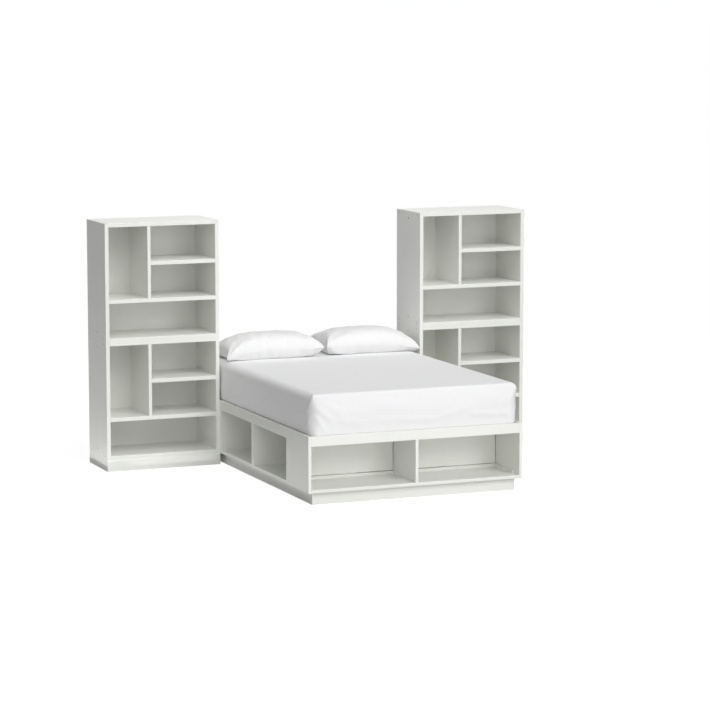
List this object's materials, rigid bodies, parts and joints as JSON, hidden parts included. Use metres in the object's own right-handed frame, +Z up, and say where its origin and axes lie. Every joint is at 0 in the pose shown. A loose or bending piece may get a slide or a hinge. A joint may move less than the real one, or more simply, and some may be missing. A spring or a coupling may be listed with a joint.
{
  "type": "storage bed with bookcase towers",
  "caption": "White storage bed with open cubbies, flanked at the head by open bookcase towers on plinths, with a mattress and pillows.",
  "frame": {"origin": "on the floor, at the middle of the whole set's footprint", "axes": "+X across the bed, from the left tower to the right one as seen from the foot; +Y from the foot to the wall behind the head; +Z up"},
  "size_m": [3.012, 2.018, 1.63],
  "materials": {
    "white_paint": "satin",
    "bare_softwood": "matte",
    "beech": "matte",
    "zinc_steel": "satin",
    "mattress_cover": "matte",
    "pillowcase": "matte"
  },
  "bodies": {
    "root": {"left_tower_lower_left_side": "white_paint", "left_tower_lower_right_side": "white_paint", "left_tower_lower_top": "white_paint", "left_tower_lower_bottom": "white_paint", "left_tower_lower_shelf": "white_paint", "left_tower_lower_divider": "white_paint", "left_tower_lower_short_shelf": "white_paint", "left_tower_upper_left_side": "white_paint", "left_tower_upper_right_side": "white_paint", "left_tower_upper_top": "white_paint", "left_tower_upper_bottom": "white_paint", "left_tower_upper_shelf": "white_paint", "left_tower_upper_divider": "white_paint", "left_tower_upper_short_shelf": "white_paint", "left_tower_backs": "white_paint", "left_tower_plinth": "white_paint", "right_tower_lower_left_side": "white_paint", "right_tower_lower_right_side": "white_paint", "right_tower_lower_top": "white_paint", "right_tower_lower_bottom": "white_paint", "right_tower_lower_shelf": "white_paint", "right_tower_lower_divider": "white_paint", "right_tower_lower_short_shelf": "white_paint", "right_tower_upper_left_side": "white_paint", "right_tower_upper_right_side": "white_paint", "right_tower_upper_top": "white_paint", "right_tower_upper_bottom": "white_paint", "right_tower_upper_shelf": "white_paint", "right_tower_upper_divider": "white_paint", "right_tower_upper_short_shelf": "white_paint", "right_tower_backs": "white_paint", "right_tower_plinth": "white_paint", "toe_kick_frame": "white_paint", "foot_left_panel": "white_paint", "foot_right_panel": "white_paint", "foot_floor": "white_paint", "foot_top": "white_paint", "foot_divider": "white_paint", "foot_backs": "white_paint", "foot_battens": "white_paint", "foot_rail": "white_paint", "left_cubby_floor": "white_paint", "right_cubby_floor": "white_paint", "left_cubby_top": "white_paint", "right_cubby_top": "white_paint", "left_cubby_back": "white_paint", "right_cubby_back": "white_paint", "left_rail": "white_paint", "right_rail": "white_paint", "cubby_partitions": "white_paint", "head_side_panels": "white_paint", "head_panel": "white_paint", "centre_support_panel": "white_paint", "deck_slats": "bare_softwood", "dowels": "beech", "confirmat_screws": "zinc_steel", "connector_bolts": "zinc_steel", "mattress": "mattress_cover", "left_pillow": "pillowcase", "right_pillow": "pillowcase"}
  },
  "joints": []
}
